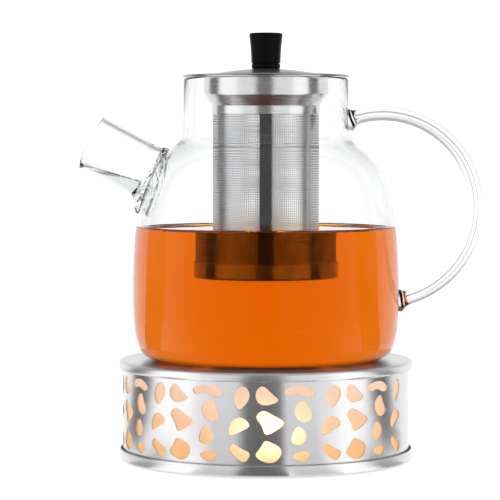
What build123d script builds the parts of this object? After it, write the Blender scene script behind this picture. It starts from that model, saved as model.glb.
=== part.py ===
from build123d import *
from build123d import SkipClean
from math import cos, hypot, radians, sin
import os

# Glass teapot with a lift-out steel infuser and lid, on a pierced steel tealight warmer.
# Millimetres, +Z up. The origin is the centre of the warmer's underside, on the axis that all
# the round pieces share. The spout points along -X and the handle along +X.

# Warmer
TRAY_R = 75.0
TRAY_H = 6.6
TRAY_T = 1.0
DRUM_R = 73.0
DRUM_T = 0.8
DRUM_SLICES = 50
LINER_GAP = 0.2
LINER_T = 0.5
PLATE_R = 75.0
PLATE_T = 0.8
LIP_H = 5.0
WARMER_H = 51.4
HEAT_HOLE_R = 9.0
HEAT_SLOTS = 10
HEAT_SLOT_LENGTH = 18.0
HEAT_SLOT_WIDTH = 7.0
HEAT_SLOT_RING_R = 30.0

# Tealight and the ring that centres it
TEALIGHT_R = 19.0
TEALIGHT_H = 15.0
FOIL = 0.3
WAX_H = 11.5
WICK_R = 0.9
WICK_TOP = 22.5
TAB_R = 7.0
TAB_T = 0.4
RING_R = 20.8
RING_T = 0.8
RING_H = 4.0

# Glass pot, heights above the warmer
GLASS = 2.0
FOOT_IN_R = 44.0
KICK_UP = 1.0
NECK_R = 42.0
POT_H = 142.9
POT_OUTLINE = [
    (50.0, 0.0),
    (61.8, 2.3),
    (65.6, 8.4),
    (67.6, 22.0),
    (67.8, 42.0),
    (66.4, 66.0),
    (62.9, 85.1),
    (56.6, 99.6),
    (48.8, 107.4),
    (43.2, 112.4),
    (NECK_R, 118.0),
]

# Spout, a plain tube fused square to the shoulder
SPOUT_R = 13.65
SPOUT_T = 1.8
SPOUT_LENGTH = 32.0
SPOUT_RISE = 28.3
SPOUT_MOUTH = Vector(-89.2, 0, 162.6)
SPOUT_BEAD_R = 18.5
SPOUT_BEAD_H = 5.0
DRIP_LIP_R = 1.3
DRIP_LIP_ARC = 110.0

# Handle, a glass rod bent to one arc
HANDLE_ROD_R = 3.6
HANDLE_R = 47.8
HANDLE_CENTRE = Vector(59.4, 0, 128.7)
HANDLE_TOP_ANGLE = 110.0
HANDLE_LOW_ANGLE = -77.4
HANDLE_STUB = 8.0
WELD_R = 6.4
WELD_H = 5.0

# Infuser
SHEET = 0.6
RIM_Z = WARMER_H + POT_H
FLANGE_R = 41.3
FLANGE_T = 0.8
COLLAR_R = 31.7
COLLAR_LOW_Z = 185.4
TUBE_R = 27.0
TUBE_T = 0.4
TUBE_CLEARANCE = 0.05
BAND_TOP_Z = 179.8
BAND_LOW_Z = 175.6
INFUSER_LOW_Z = 93.0
BASE_BAND_H = 8.0

# Lid and knob
LID_R = 42.7
LID_T = 0.8
LID_Z = RIM_Z + FLANGE_T
DOME_R = 30.0
DOME_H = 3.1
SEAT_R = 7.8
SKIRT_R = 30.6
SKIRT_H = 6.7
KNOB_FOOT_R = 7.3
KNOB_FOOT_H = 2.7
KNOB_NECK_R = 6.8
KNOB_LOW_R = 7.4
KNOB_TOP_R = 8.6
KNOB_TOP_Z = 217.3
GROOVE = 0.4
SCREW_R = 2.0
SCREW_HEAD_R = 3.8
SCREW_HEAD_H = 2.4
SCREW_GRIP = 9.0
WASHER_R = 6.0
WASHER_T = 0.8
SCREW_CLEARANCE = 0.05

# The drum's cut-outs. Each pebble has its bearing in degrees from the front (-Y) towards +X, the
# height of its middle, and its outline as (right, up) points. The group of ten repeats round the
# drum, except in the plain band over the wall's seam.
MOTIFS = 10
SEAM_FROM = 66.0
SEAM_TO = 92.0
WIDEST_PEBBLE = 8.0
PEBBLES = {
    "oval": (-9.7, 39.3, [(1.2, 5.4), (3.9, 2.1), (2.5, -2.6), (-1.6, -5.5), (-3.8, -1.6), (-2.4, 3.6)]),
    "wedge": (0.0, 40.4, [(-2.7, 4.4), (2.8, 0.5), (5.5, -2.4), (2.2, -4.3), (-4.0, -3.6), (-5.2, 1.6)]),
    "long_bean": (
        12.7,
        42.0,
        [(-7.8, 0.0), (-2.2, 2.7), (4.4, 2.0), (7.8, -1.1), (5.6, -2.6), (-1.1, -1.1), (-6.2, -1.7)],
    ),
    "kidney": (14.1, 32.7, [(0.4, 5.1), (-3.9, 2.8), (-3.6, -2.8), (0.9, -5.4), (4.4, -3.0), (2.4, 1.6)]),
    "bean": (-10.7, 25.0, [(2.2, 4.3), (-4.2, 1.4), (-4.6, -3.9), (1.0, -2.0), (5.1, 1.0)]),
    "triangle": (
        1.3,
        27.2,
        [(-4.3, 5.5), (-6.6, 3.0), (-4.2, -1.4), (-2.4, -5.4), (3.0, -3.6), (6.6, -0.3), (1.2, 3.8)],
    ),
    "round": (12.3, 20.6, [(-0.7, 4.5), (-3.2, 1.2), (-3.6, -2.8), (-0.2, -4.4), (3.8, -0.4)]),
    "crescent": (-10.5, 12.5, [(-3.9, 4.0), (1.0, 2.1), (5.0, -0.4), (3.0, -4.1), (-2.6, -1.4), (-5.0, 2.4)]),
    "notched": (
        0.75,
        13.4,
        [(-1.9, 4.9), (-3.9, 2.0), (-6.4, -1.7), (-2.8, -4.9), (4.0, -4.4), (6.0, 0.4), (1.4, 4.1)],
    ),
    "flat_bean": (13.3, 10.9, [(-4.5, -0.2), (-0.3, 2.2), (4.4, 0.6), (2.6, -2.2), (-2.2, -1.9)]),
}


def turned(corners, rounds=None):
    """A solid turned about the axis from (radius, height) corners. Rounds gives corner numbers their radii."""
    face = make_face(Polyline(*corners, close=True))
    for number, radius in (rounds or {}).items():
        corner = face.vertices().sort_by_distance((*corners[number], 0))[0]
        face = fillet(corner, radius)
    return revolve(Plane.XZ * face, Axis.Z)


def moved(path, distance):
    """A path of (radius, height) points moved to its left, each point along the mitre of its two sides."""
    result = []
    for number, (radius, height) in enumerate(path):
        normals = []
        for start, end in zip(path[max(number - 1, 0) :], path[max(number - 1, 0) + 1 : number + 2]):
            run, climb = end[0] - start[0], end[1] - start[1]
            normals.append((-climb / hypot(run, climb), run / hypot(run, climb)))
        across, up = sum(n[0] for n in normals), sum(n[1] for n in normals)
        scale = distance * len(normals) / (across**2 + up**2)
        result.append((radius + across * scale, height + up * scale))
    return result


def sheet_turned(path, thickness, rounds=None):
    """A turned sheet that fills from the path to the same path moved to its left."""
    return turned(path + moved(path, thickness)[::-1], rounds)


def ring(outer, inner, low, high):
    return turned([(inner, low), (outer, low), (outer, high), (inner, high)])


def base_tray():
    path = [(0, 0), (TRAY_R, 0), (TRAY_R, TRAY_H)]
    return sheet_turned(path, TRAY_T, {1: 1.8, 4: 0.8, 2: 0.45, 3: 0.45})


def candle_ring():
    return ring(RING_R, RING_R - RING_T, TRAY_T, TRAY_T + RING_H)


def tealight_cup():
    path = [(0, TRAY_T), (TEALIGHT_R - 0.4, TRAY_T), (TEALIGHT_R, TRAY_T + TEALIGHT_H)]
    return sheet_turned(path, FOIL)


def wick_tab():
    low = TRAY_T + FOIL
    return ring(TAB_R, WICK_R, low, low + TAB_T)


def tealight_wick():
    return turned([(0, TRAY_T + FOIL), (WICK_R, TRAY_T + FOIL), (WICK_R, WICK_TOP), (0, WICK_TOP)])


def tealight_wax():
    low = TRAY_T + FOIL
    high = low + WAX_H
    wall = TEALIGHT_R - 0.4 - 2 * FOIL
    return turned([(WICK_R, low + TAB_T), (TAB_R, low + TAB_T), (TAB_R, low), (wall, low), (wall, high), (WICK_R, high)])


def pebble_cutter(bearing, height, outline):
    """A prism through the drum's wall, square to it at one bearing and height."""
    turn = radians(bearing)
    outward = Vector(sin(turn), -cos(turn), 0)
    place = Plane(
        origin=outward * DRUM_R + Vector(0, 0, height),
        x_dir=(cos(turn), sin(turn), 0),
        z_dir=outward,
    )
    face = make_face(Spline(*outline, periodic=True))
    return extrude(place * face, amount=4 * DRUM_T, both=True)


def drum_slice(middle, width, cutters):
    """One slice of the wall, width degrees wide, cut by the pebbles near it."""
    inner, low, high = DRUM_R - DRUM_T, TRAY_T, WARMER_H - PLATE_T
    section = make_face(Polyline((inner, low), (DRUM_R, low), (DRUM_R, high), (inner, high), close=True))
    plain = Rot(0, 0, middle - 90 - width / 2) * revolve(Plane.XZ * section, Axis.Z, width)
    reach = width / 2 + WIDEST_PEBBLE
    near = [cutter for turn, cutter in cutters if abs((turn - middle + 180) % 360 - 180) < reach]
    return plain.cut(*near) if near else plain


def drum_wall():
    """The pierced wall. Its faces stay divided into slices, so that each one is only slightly curved."""
    cutters = []
    for motif in range(MOTIFS):
        for bearing, height, outline in PEBBLES.values():
            turn = bearing + motif * 360 / MOTIFS
            if not SEAM_FROM < turn < SEAM_TO:
                cutters.append((turn, pebble_cutter(turn, height, outline)))
    width = 360 / DRUM_SLICES
    with SkipClean():
        slices = [drum_slice(number * width, width, cutters) for number in range(DRUM_SLICES)]
        return slices[0].fuse(*slices[1:])


def drum_liner():
    """The frosted sheet that glows behind the cut-outs."""
    outer = DRUM_R - DRUM_T - LINER_GAP
    return ring(outer, outer - LINER_T, TRAY_T + DRUM_T, WARMER_H - PLATE_T)


def top_plate():
    path = [(HEAT_HOLE_R, WARMER_H), (PLATE_R, WARMER_H), (PLATE_R, WARMER_H - LIP_H)]
    plate = turned(path + moved(path, -PLATE_T)[::-1], {1: 1.6, 4: 0.8, 2: 0.35, 3: 0.35})
    slot = extrude(SlotOverall(HEAT_SLOT_LENGTH, HEAT_SLOT_WIDTH), amount=PLATE_T + 2)
    slots = PolarLocations(HEAT_SLOT_RING_R, HEAT_SLOTS) * (Pos(0, 0, WARMER_H - PLATE_T - 1) * slot)
    return plate - slots


def pot_side(inset):
    """The pot's half outline from the axis to the top of the neck, moved inward by inset."""
    outline = [(r, WARMER_H + z) for r, z in moved(POT_OUTLINE, inset)]
    foot_z = WARMER_H + inset
    outline[0] = (POT_OUTLINE[0][0] - inset / 2, foot_z)
    outline[-1] = (NECK_R - inset, outline[-1][1])
    kick = ThreePointArc((0, foot_z + KICK_UP), (FOOT_IN_R * 0.6, foot_z + KICK_UP * 0.7), (FOOT_IN_R, foot_z))
    return [
        kick,
        Line((FOOT_IN_R, foot_z), outline[0]),
        Spline(*outline, tangents=[(1, 0.03), (0, 1)], tangent_scalars=[0.5, 1]),
        Line(outline[-1], (outline[-1][0], RIM_Z - GLASS / 2)),
    ]


def pot_solid():
    """The pot filled solid, with a flat top."""
    top = RIM_Z - GLASS / 2
    axis = [Line((NECK_R, top), (0, top)), Line((0, top), (0, WARMER_H + KICK_UP))]
    return revolve(Plane.XZ * make_face(Wire(pot_side(0) + axis)), Axis.Z)


def glass_body():
    """The blown pot: one wall of even thickness, a fire-rounded rim and the hole for the spout."""
    top = RIM_Z - GLASS / 2
    rim = ThreePointArc((NECK_R, top), (NECK_R - GLASS / 2, RIM_Z), (NECK_R - GLASS, top))
    floor = Line((0, WARMER_H + GLASS + KICK_UP), (0, WARMER_H + KICK_UP))
    wall = make_face(Wire(pot_side(0) + [rim] + pot_side(GLASS) + [floor]))
    return revolve(Plane.XZ * wall, Axis.Z) - spout_rod(SPOUT_R - SPOUT_T, SPOUT_LENGTH + 12)


def spout_plane():
    """The plane of the spout's mouth, facing out along the tube."""
    rise = radians(SPOUT_RISE)
    return Plane(origin=SPOUT_MOUTH, x_dir=(0, 1, 0), z_dir=(-cos(rise), 0, sin(rise)))


def spout_rod(radius, length):
    """A cylinder from the mouth back towards the pot."""
    return spout_plane() * Pos(0, 0, -length / 2) * Cylinder(radius, length)


def spout_tube(pot):
    tube = spout_rod(SPOUT_R, SPOUT_LENGTH + 12) - spout_rod(SPOUT_R - SPOUT_T, SPOUT_LENGTH + 12)
    middle = SPOUT_R - SPOUT_T + DRIP_LIP_R
    section = Plane.XZ * (Pos(middle, 0) * Circle(DRIP_LIP_R))
    lip = revolve(section, Axis.Z, DRIP_LIP_ARC)
    lip = Rot(0, 0, 180 - DRIP_LIP_ARC / 2 - 90) * lip
    hidden = spout_rod(SPOUT_R - SPOUT_T, SPOUT_LENGTH)
    return tube + (spout_plane() * Pos(0, 0, -DRIP_LIP_R) * lip - hidden) - pot


def spout_bead(pot):
    """The ring of glass melted round the foot of the spout."""
    top = -SPOUT_LENGTH + SPOUT_BEAD_H
    foot = -SPOUT_LENGTH - 2.6
    flare = ThreePointArc((SPOUT_R, top), (SPOUT_R + 1.3, foot + 3.2), (SPOUT_BEAD_R, foot))
    edges = [
        flare,
        Line((SPOUT_BEAD_R, foot), (SPOUT_BEAD_R, foot - 10)),
        Line((SPOUT_BEAD_R, foot - 10), (SPOUT_R, foot - 10)),
        Line((SPOUT_R, foot - 10), (SPOUT_R, top)),
    ]
    bead = revolve(Plane.XZ * make_face(Wire(edges)), Axis.Z)
    return spout_plane() * bead - pot


def handle_end(angle, toward_low):
    """The plane of one end of the handle's arc, facing into the pot."""
    turn = radians(angle)
    place = HANDLE_CENTRE + Vector(cos(turn), 0, sin(turn)) * HANDLE_R
    along = Vector(sin(turn), 0, -cos(turn))
    return Plane(origin=place, z_dir=along if toward_low else -along)


def handle_solid():
    low = radians(HANDLE_LOW_ANGLE)
    start = HANDLE_CENTRE + Vector(cos(low), 0, sin(low)) * HANDLE_R
    section = Plane(origin=start, z_dir=(-sin(low), 0, cos(low))) * Circle(HANDLE_ROD_R)
    arc = revolve(section, Axis(HANDLE_CENTRE, (0, -1, 0)), HANDLE_TOP_ANGLE - HANDLE_LOW_ANGLE)
    stub = Pos(0, 0, HANDLE_STUB / 2) * Cylinder(HANDLE_ROD_R, HANDLE_STUB)
    return arc + handle_end(HANDLE_LOW_ANGLE, True) * stub + handle_end(HANDLE_TOP_ANGLE, False) * stub


def handle_weld(pot, rod, angle, toward_low, reach):
    """The flared glass where one end of the rod is melted to the pot, reach mm past the arc's end."""
    cone = Cone(HANDLE_ROD_R + 0.5, WELD_R, WELD_H)
    return handle_end(angle, toward_low) * Pos(0, 0, reach - WELD_H / 2) * cone - rod - pot


def infuser_collar():
    path = [
        (TUBE_R + TUBE_CLEARANCE, BAND_LOW_Z),
        (TUBE_R + TUBE_CLEARANCE, BAND_TOP_Z),
        (COLLAR_R - SHEET, COLLAR_LOW_Z),
        (COLLAR_R - SHEET, RIM_Z + FLANGE_T - 0.6),
    ]
    wall = turned(path + moved(path, -SHEET)[::-1])
    return wall + ring(FLANGE_R, COLLAR_R - SHEET, RIM_Z, LID_Z)


def infuser_tube():
    return ring(TUBE_R, TUBE_R - TUBE_T, INFUSER_LOW_Z + 2 * SHEET, BAND_TOP_Z - 1)


def infuser_base():
    path = [
        (0, INFUSER_LOW_Z),
        (TUBE_R + TUBE_CLEARANCE + SHEET, INFUSER_LOW_Z),
        (TUBE_R + TUBE_CLEARANCE + SHEET, INFUSER_LOW_Z + BASE_BAND_H),
    ]
    return sheet_turned(path, SHEET, {1: 1.2, 4: 0.6})


def lid_cover():
    """A flat flange and a shallow dome with a flat seat for the knob."""
    seat_z = LID_Z + LID_T + DOME_H
    middle = (DOME_R * 2 / 3, seat_z - DOME_H * 0.36)
    edges = [
        Line((SCREW_R + 0.2, seat_z), (SEAT_R, seat_z)),
        ThreePointArc((SEAT_R, seat_z), middle, (DOME_R, LID_Z + LID_T)),
        Line((DOME_R, LID_Z + LID_T), (LID_R - LID_T / 2, LID_Z + LID_T)),
        ThreePointArc(
            (LID_R - LID_T / 2, LID_Z + LID_T), (LID_R, LID_Z + LID_T / 2), (LID_R - LID_T / 2, LID_Z)
        ),
        Line((LID_R - LID_T / 2, LID_Z), (DOME_R, LID_Z)),
        ThreePointArc((DOME_R, LID_Z), (middle[0], middle[1] - LID_T), (SEAT_R, seat_z - LID_T)),
        Line((SEAT_R, seat_z - LID_T), (SCREW_R + 0.2, seat_z - LID_T)),
        Line((SCREW_R + 0.2, seat_z - LID_T), (SCREW_R + 0.2, seat_z)),
    ]
    return revolve(Plane.XZ * make_face(Wire(edges)), Axis.Z)


def lid_skirt():
    return ring(SKIRT_R, SKIRT_R - SHEET, LID_Z - SKIRT_H, LID_Z)


def knob_foot():
    low = LID_Z + LID_T + DOME_H
    corners = [
        (SCREW_R + SCREW_CLEARANCE, low),
        (KNOB_FOOT_R - 0.6, low),
        (KNOB_FOOT_R, low + 0.8),
        (KNOB_FOOT_R, low + KNOB_FOOT_H),
        (SCREW_R + SCREW_CLEARANCE, low + KNOB_FOOT_H),
    ]
    return turned(corners, {3: 0.3})


def lid_knob():
    low = LID_Z + LID_T + DOME_H + KNOB_FOOT_H
    bore = SCREW_R + SCREW_CLEARANCE
    bore_top = LID_Z + LID_T + DOME_H + SCREW_GRIP + 0.3
    side = [
        Line((bore, low), (KNOB_NECK_R, low)),
        Line((KNOB_NECK_R, low), (KNOB_NECK_R, low + GROOVE)),
        Line((KNOB_NECK_R, low + GROOVE), (KNOB_LOW_R, low + GROOVE)),
        ThreePointArc((KNOB_LOW_R, low + GROOVE), (KNOB_LOW_R + 0.35, low + 7), (KNOB_TOP_R, KNOB_TOP_Z - 1.0)),
        ThreePointArc(
            (KNOB_TOP_R, KNOB_TOP_Z - 1.0),
            (KNOB_TOP_R - 0.3, KNOB_TOP_Z - 0.3),
            (KNOB_TOP_R - 1.0, KNOB_TOP_Z),
        ),
        Line((KNOB_TOP_R - 1.0, KNOB_TOP_Z), (0, KNOB_TOP_Z)),
        Line((0, KNOB_TOP_Z), (0, bore_top)),
        Line((0, bore_top), (bore, bore_top)),
        Line((bore, bore_top), (bore, low)),
    ]
    return revolve(Plane.XZ * make_face(Wire(side)), Axis.Z)


def knob_washer():
    high = LID_Z + DOME_H
    return ring(WASHER_R, SCREW_R + SCREW_CLEARANCE, high - WASHER_T, high)


def knob_screw():
    under = LID_Z + DOME_H - WASHER_T
    tip = LID_Z + LID_T + DOME_H + SCREW_GRIP
    corners = [
        (0, under - SCREW_HEAD_H),
        (SCREW_HEAD_R, under - SCREW_HEAD_H),
        (SCREW_HEAD_R, under),
        (SCREW_R, under),
        (SCREW_R, tip),
        (0, tip),
    ]
    screw = turned(corners, {1: 1.0})
    cross = Box(1.0, 4.4, 1.6) + Box(4.4, 1.0, 1.6)
    return screw - Pos(0, 0, under - SCREW_HEAD_H + 0.4) * cross


def main():
    pot = pot_solid()
    rod = handle_solid()
    nodes = {
        "base_tray": base_tray(),
        "candle_ring": candle_ring(),
        "tealight_cup": tealight_cup(),
        "tealight_wax": tealight_wax(),
        "tealight_wick": tealight_wick(),
        "wick_tab": wick_tab(),
        "drum_wall": drum_wall(),
        "drum_liner": drum_liner(),
        "top_plate": top_plate(),
        "glass_body": glass_body(),
        "spout_tube": spout_tube(pot),
        "spout_bead": spout_bead(pot),
        "handle_rod": rod - pot,
        "handle_upper_weld": handle_weld(pot, rod, HANDLE_TOP_ANGLE, False, 3.0),
        "handle_lower_weld": handle_weld(pot, rod, HANDLE_LOW_ANGLE, True, 4.5),
        "infuser_collar": infuser_collar(),
        "infuser_tube": infuser_tube(),
        "infuser_base": infuser_base(),
        "lid_cover": lid_cover(),
        "lid_skirt": lid_skirt(),
        "lid_knob": lid_knob(),
        "knob_foot": knob_foot(),
        "knob_washer": knob_washer(),
        "knob_screw": knob_screw(),
    }
    os.makedirs("parts", exist_ok=True)
    for name, shape in nodes.items():
        export_step(shape, f"parts/{name}.step")


main()
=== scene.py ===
from math import cos, exp, hypot, pi, radians, sin

import bmesh
import bpy
import numpy as np
from mathutils import Matrix, Vector
from mathutils.geometry import delaunay_2d_cdt

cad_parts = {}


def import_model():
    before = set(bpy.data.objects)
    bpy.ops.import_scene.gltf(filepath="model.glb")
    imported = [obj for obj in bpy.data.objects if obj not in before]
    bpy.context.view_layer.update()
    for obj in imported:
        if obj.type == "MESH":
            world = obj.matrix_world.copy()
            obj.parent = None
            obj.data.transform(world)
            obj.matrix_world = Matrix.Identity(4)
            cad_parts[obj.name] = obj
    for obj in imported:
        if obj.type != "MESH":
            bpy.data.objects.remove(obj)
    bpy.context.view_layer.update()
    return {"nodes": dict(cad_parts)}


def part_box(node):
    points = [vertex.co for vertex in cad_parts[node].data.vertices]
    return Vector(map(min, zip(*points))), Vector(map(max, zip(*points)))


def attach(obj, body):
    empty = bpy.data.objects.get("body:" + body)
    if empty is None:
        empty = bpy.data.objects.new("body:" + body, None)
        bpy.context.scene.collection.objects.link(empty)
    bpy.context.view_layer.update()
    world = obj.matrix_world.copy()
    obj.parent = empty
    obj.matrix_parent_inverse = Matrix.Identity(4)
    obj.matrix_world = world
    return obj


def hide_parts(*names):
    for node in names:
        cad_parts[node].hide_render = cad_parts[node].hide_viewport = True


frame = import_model()

# Outlines below are in millimetres, and MM turns them into metres. Heights are above the table.
MM = 0.001
# Segments round the large turned pieces
ROUND = 192


def height_of(node, end):
    """The lowest (0) or highest (1) point of a CAD node, in millimetres."""
    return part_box(node)[end].z / MM


# Warmer, from the frame
TRAY_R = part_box("base_tray")[1].x / MM
TRAY_H = height_of("base_tray", 1)
TRAY_FLOOR = height_of("candle_ring", 0)
DRUM_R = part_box("drum_wall")[1].x / MM
DRUM_T = 0.8
PLATE_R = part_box("top_plate")[1].x / MM
PLATE_T = 0.8
WARMER_H = height_of("top_plate", 1)
LIP_LOW = height_of("top_plate", 0)
LINER_R = DRUM_R - DRUM_T - 0.2

# Pot
GLASS = 2.0
NECK_R = 42.0
RIM_Z = height_of("glass_body", 1)
FOOT_IN_R = 44.0
KICK_UP = 1.0
POT_OUTLINE = [
    (50.0, 0.0),
    (61.8, 2.3),
    (65.6, 8.4),
    (67.6, 22.0),
    (67.8, 42.0),
    (66.4, 66.0),
    (62.9, 85.1),
    (56.6, 99.6),
    (48.8, 107.4),
    (43.2, 112.4),
    (NECK_R, 118.0),
]
TEA_Z = 118.0
CONTACT_Z = 119.1
TEA_OVERLAP = 0.12
GLASS_IOR = 1.47
GLASS_DENSITY = 50.0
TEA_DENSITY = 52.0
WATER_IOR = 1.333
# Grey of the painted shade along the glass's grazing edges
PAINTED_EDGE_SHADE = (0.6, 0.63, 0.64)

# Spout
SPOUT_R = 13.65
SPOUT_T = 1.8
SPOUT_LENGTH = 32.0
LIP_CURL = 1.8
LIP_DROP = 2.2
SPOUT_RISE = radians(28.3)
SPOUT_MOUTH = Vector((-89.2, 0, 162.6))

# Handle
HANDLE_ROD_R = 3.6
HANDLE_BORE_R = 0.9
HANDLE_R = 47.8
HANDLE_CENTRE = Vector((59.4, 0, 128.7))
HANDLE_TOP = radians(110.0)
HANDLE_LOW = radians(-77.4)

# Infuser
SHEET = 0.6
COLLAR_R = 31.7
COLLAR_LOW_Z = 185.4
TUBE_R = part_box("infuser_tube")[1].x / MM
TUBE_T = 0.4
BAND_TOP_Z = 179.8
BAND_LOW_Z = 175.6
INFUSER_LOW_Z = height_of("infuser_base", 0)
LEAVES_TOP = 113.0
STAIN = (0.3, 0.2, 0.12)
BASE_BAND_Z = height_of("infuser_base", 1)
FLANGE_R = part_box("infuser_collar")[1].x / MM

# Lid
LID_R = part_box("lid_cover")[1].x / MM
LID_Z = height_of("lid_cover", 0)
LID_T = 0.8
DOME_R = 30.0
SEAT_Z = height_of("lid_cover", 1)
SEAT_R = 7.8
KNOB_TOP_Z = height_of("lid_knob", 1)
KNOB_TOP_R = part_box("lid_knob")[1].x / MM
KNOB_LOW_Z = height_of("lid_knob", 0)

# Tealight
TEALIGHT_R = 19.0
TEALIGHT_TOP = height_of("tealight_cup", 1)
WAX_TOP = height_of("tealight_wax", 1)
WICK_TOP = height_of("tealight_wick", 1)
FLAME_X = 1.0
FLAME_LOW = WICK_TOP - 5
FLAME_HIGH = WICK_TOP + 8
LAMP_Z = WICK_TOP - 7
CANDLE_WATTS = 0.115
FLAME_STRENGTH = 5.0

# The drum's cut-outs: bearing in degrees from the front towards +X, height of the middle, and the
# outline as (right, up) points. The group repeats ten times, and a plain seam band stands in for
# the bearings between SEAM_FROM and SEAM_TO.
MOTIFS = 10
PEBBLES = {
    "oval": (-9.7, 39.3, [(1.2, 5.4), (3.9, 2.1), (2.5, -2.6), (-1.6, -5.5), (-3.8, -1.6), (-2.4, 3.6)]),
    "wedge": (0.0, 40.4, [(-2.7, 4.4), (2.8, 0.5), (5.5, -2.4), (2.2, -4.3), (-4.0, -3.6), (-5.2, 1.6)]),
    "long_bean": (
        12.7,
        42.0,
        [(-7.8, 0.0), (-2.2, 2.7), (4.4, 2.0), (7.8, -1.1), (5.6, -2.6), (-1.1, -1.1), (-6.2, -1.7)],
    ),
    "kidney": (14.1, 32.7, [(0.4, 5.1), (-3.9, 2.8), (-3.6, -2.8), (0.9, -5.4), (4.4, -3.0), (2.4, 1.6)]),
    "bean": (-10.7, 25.0, [(2.2, 4.3), (-4.2, 1.4), (-4.6, -3.9), (1.0, -2.0), (5.1, 1.0)]),
    "triangle": (
        1.3,
        27.2,
        [(-4.3, 5.5), (-6.6, 3.0), (-4.2, -1.4), (-2.4, -5.4), (3.0, -3.6), (6.6, -0.3), (1.2, 3.8)],
    ),
    "round": (12.3, 20.6, [(-0.7, 4.5), (-3.2, 1.2), (-3.6, -2.8), (-0.2, -4.4), (3.8, -0.4)]),
    "crescent": (-10.5, 12.5, [(-3.9, 4.0), (1.0, 2.1), (5.0, -0.4), (3.0, -4.1), (-2.6, -1.4), (-5.0, 2.4)]),
    "notched": (
        0.75,
        13.4,
        [(-1.9, 4.9), (-3.9, 2.0), (-6.4, -1.7), (-2.8, -4.9), (4.0, -4.4), (6.0, 0.4), (1.4, 4.1)],
    ),
    "flat_bean": (13.3, 10.9, [(-4.5, -0.2), (-0.3, 2.2), (4.4, 0.6), (2.6, -2.2), (-2.2, -1.9)]),
}
SEAM_FROM, SEAM_TO = 66.0, 92.0


# ---- outlines


def spline(points, start=None, end=None, steps=8, closed=False):
    """Points along a smooth curve through the given ones. Start and end fix the end tangents."""
    p = np.array(points, float)
    n = len(p)
    after = np.roll(p, -1, axis=0) if closed else p[1:]
    h = np.linalg.norm(after - p[: len(after)], axis=1)
    a, b = np.zeros((n, n)), np.zeros((n, 2))
    for i in range(n):
        if closed or 0 < i < n - 1:
            before, here, prev, post = h[i - 1], h[i % len(h)], (i - 1) % n, (i + 1) % n
            a[i, prev], a[i, i], a[i, post] = here, 2 * (before + here), before
            b[i] = 3 * (here * (p[i] - p[prev]) / before + before * (p[post] - p[i]) / here)
        elif i == 0:
            a[0, 0], a[0, 1] = (1, 0) if start else (2, 1)
            b[0] = start or 3 * (p[1] - p[0]) / h[0]
        else:
            a[i, i], a[i, i - 1] = (1, 0) if end else (2, 1)
            b[i] = end or 3 * (p[i] - p[i - 1]) / h[-1]
    m = np.linalg.solve(a, b)
    result = []
    for i in range(len(after)):
        j = (i + 1) % n
        for t in np.arange(steps) / steps:
            result.append(
                p[i] * (1 + 2 * t) * (1 - t) ** 2
                + m[i] * h[i] * t * (1 - t) ** 2
                + p[j] * t * t * (3 - 2 * t)
                + m[j] * h[i] * t * t * (t - 1)
            )
    if not closed:
        result.append(p[-1])
    return [tuple(q) for q in result]


def bent(points, steps=5):
    """An outline whose (radius, height, bend) corners are rounded to that bend radius."""
    result = []
    for number, (x, y, *bend) in enumerate(points):
        if not bend or not bend[0]:
            result.append((x, y))
            continue
        here = Vector((x, y))
        before = (Vector(points[number - 1][:2]) - here).normalized()
        after = (Vector(points[(number + 1) % len(points)][:2]) - here).normalized()
        half = before.angle(after) / 2
        reach = bend[0] / np.tan(half)
        centre = here + (before + after).normalized() * (bend[0] / sin(half))
        first, last = here + before * reach - centre, here + after * reach - centre
        for step in range(steps + 1):
            spot = first.lerp(last, step / steps).normalized() * bend[0] + centre
            result.append((spot.x, spot.y))
    return result


def moved(path, distance):
    """A path of (radius, height) points moved to its left, each point along the mitre of its two sides."""
    result = []
    for number, (x, y) in enumerate(path):
        normals = []
        first = max(number - 1, 0)
        for start, end in zip(path[first:], path[first + 1 : number + 2]):
            run, climb = end[0] - start[0], end[1] - start[1]
            normals.append((-climb / hypot(run, climb), run / hypot(run, climb)))
        across, up = sum(n[0] for n in normals), sum(n[1] for n in normals)
        scale = distance * len(normals) / (across**2 + up**2)
        result.append((x + across * scale, y + up * scale))
    return result


# ---- meshes


def piece(name, verts, faces, sharp=35.0, scale=MM):
    """A smooth-shaded mesh object from points in millimetres, with sharp edges past an angle."""
    mesh = bpy.data.meshes.new(name)
    mesh.from_pydata([(x * scale, y * scale, z * scale) for x, y, z in verts], [], faces)
    mesh.polygons.foreach_set("use_smooth", [True] * len(mesh.polygons))
    mesh.update()
    mesh.set_sharp_from_angle(angle=radians(sharp))
    obj = bpy.data.objects.new(name, mesh)
    bpy.context.scene.collection.objects.link(obj)
    return obj


def lathe_data(outline, segments, wobble=None):
    """Points and faces of a closed outline turned about the vertical axis. On the axis they become one."""
    verts, rows = [], []
    for number, (r, z) in enumerate(outline):
        if r < 1e-6:
            rows.append([len(verts)] * segments)
            verts.append((0, 0, z))
            continue
        row = []
        for k in range(segments):
            turn = 2 * pi * k / segments
            radius, level = wobble(number, r, z, turn) if wobble else (r, z)
            row.append(len(verts))
            verts.append((radius * sin(turn), -radius * cos(turn), level))
        rows.append(row)
    faces = []
    for low, high in zip(rows, rows[1:] + rows[:1]):
        for k in range(segments):
            m = (k + 1) % segments
            corners = [low[k], low[m], high[m], high[k]]
            corners = [c for i, c in enumerate(corners) if c != corners[i - 1]]
            if len(corners) > 2:
                faces.append(corners)
    return verts, faces


def lathe(name, outline, segments=160, sharp=35.0, wobble=None):
    verts, faces = lathe_data(outline, segments, wobble)
    return facing_out(piece(name, verts, faces, sharp))


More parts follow.
